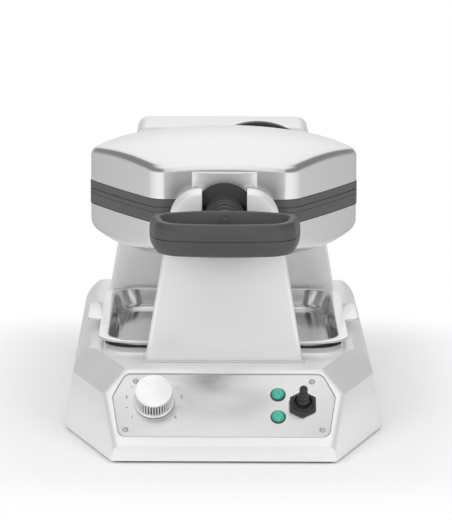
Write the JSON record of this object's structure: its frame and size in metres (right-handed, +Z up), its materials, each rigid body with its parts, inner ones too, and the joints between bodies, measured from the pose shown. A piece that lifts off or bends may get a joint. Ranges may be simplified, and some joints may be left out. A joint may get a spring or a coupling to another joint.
{
  "type": "rotating bubble waffle maker",
  "caption": "Countertop waffle maker whose six-sided head of two bubble plates turns over on front and rear supports above a drip tray; the lid lifts by a loop handle.",
  "frame": {"origin": "middle of the bounding box at the level of the feet", "axes": "+X to the right as seen from the control panel, +Y from the handle to the rear support, +Z up"},
  "size_m": [0.262, 0.48, 0.2387],
  "materials": {
    "housing_paint": "satin silver-grey paint",
    "base_plate_steel": "plain painted sheet",
    "panel_steel": "brushed, satin",
    "cover_steel": "brushed stainless steel",
    "tray_steel": "polished stainless steel",
    "fixing_steel": "zinc-plated steel",
    "rim_plastic": "matt heat-proof moulding",
    "handle_plastic": "matt dark grey moulding",
    "trunnion_metal": "black coated casting",
    "knob_metal": "satin aluminium",
    "shaft_brass": "plain brass",
    "lens_green": "translucent green moulding",
    "lamp_plastic": "pale moulding",
    "black_plastic": "matt black moulding",
    "black_rubber": "soft matt rubber",
    "grey_rubber": "pale grey rubber",
    "plate_coating": "dark release coating on cast aluminium",
    "heater_steel": "heat-darkened steel tube",
    "pad_fibre": "pressed mineral fibre",
    "bush_bronze": "sintered bronze",
    "cast_housing": "plain casting",
    "board_green": "coated circuit board"
  },
  "bodies": {
    "base": {"base_housing": "housing_paint", "base_plate": "base_plate_steel", "rubber_feet": "black_rubber", "cover_screws": "fixing_steel", "support_screws": "fixing_steel", "control_panel": "panel_steel", "panel_screws": "fixing_steel", "browning_control": "black_plastic", "browning_control_nut": "shaft_brass", "lamp_lenses": "lens_green", "lamp_bodies": "lamp_plastic", "switch_body": "black_plastic", "switch_boot_nut": "black_rubber", "front_support_gasket": "grey_rubber", "front_support": "housing_paint", "front_saddle": "housing_paint", "saddle_studs": "fixing_steel", "saddle_liner": "bush_bronze", "rear_support": "housing_paint", "rear_support_cover": "base_plate_steel", "bearing_housing": "cast_housing", "bearing_screws": "fixing_steel", "hub_bush": "bush_bronze", "wiring_guard": "black_plastic", "cord_gland": "black_plastic", "cord_gland_nut": "black_plastic", "control_board": "board_green", "terminal_block": "lamp_plastic"},
    "head": {"lower_cover": "cover_steel", "lower_rim": "rim_plastic", "lower_cooking_plate": "plate_coating", "lower_plate_screws": "fixing_steel", "lower_heating_element": "heater_steel", "lower_insulation_pad": "pad_fibre", "lower_heat_sensor": "heater_steel", "lower_trunnion": "trunnion_metal", "hinge_bracket": "fixing_steel", "hinge_bracket_screws": "fixing_steel", "hinge_pins": "fixing_steel", "hub_shaft": "fixing_steel", "stop_collar": "fixing_steel"},
    "lid": {"lid_cover": "cover_steel", "lid_rim": "rim_plastic", "upper_cooking_plate": "plate_coating", "upper_plate_screws": "fixing_steel", "upper_heating_element": "heater_steel", "upper_insulation_pad": "pad_fibre", "upper_heat_sensor": "heater_steel", "upper_trunnion": "trunnion_metal", "handle_neck": "handle_plastic", "handle_upper_shell": "handle_plastic", "handle_lower_shell": "handle_plastic", "handle_bolt": "fixing_steel", "lid_hinge_bracket": "fixing_steel", "lid_bracket_screws": "fixing_steel"},
    "knob": {"browning_knob": "knob_metal", "browning_shaft": "shaft_brass"},
    "toggle": {"toggle_lever": "fixing_steel", "toggle_boot": "black_rubber"},
    "tray": {"drip_tray": "tray_steel"}
  },
  "joints": [
    {"name": "head_turn", "type": "hinge", "parent": "base", "child": "head", "pos_m": [0, -0.0174, 0.186], "axis": [0, 1, 0], "range_deg": [-180, 0]},
    {"name": "lid_lift", "type": "hinge", "parent": "head", "child": "lid", "pos_m": [0, 0.092, 0.204], "axis": [-1, 0, 0], "range_deg": [0, 90]},
    {"name": "browning_turn", "type": "hinge", "parent": "base", "child": "knob", "pos_m": [-0.0562, -0.17972, 0.04293], "axis": [0, -0.6839, 0.7296], "range_deg": [-175, 95]},
    {"name": "switch_throw", "type": "hinge", "parent": "base", "child": "toggle", "pos_m": [0.0634, -0.18116, 0.04022], "axis": [1, 0, 0], "range_deg": [0, 10]},
    {"name": "tray_lift", "type": "slide", "parent": "base", "child": "tray", "axis": [0, 0, 1], "range_m": [0, 0.045]}
  ]
}
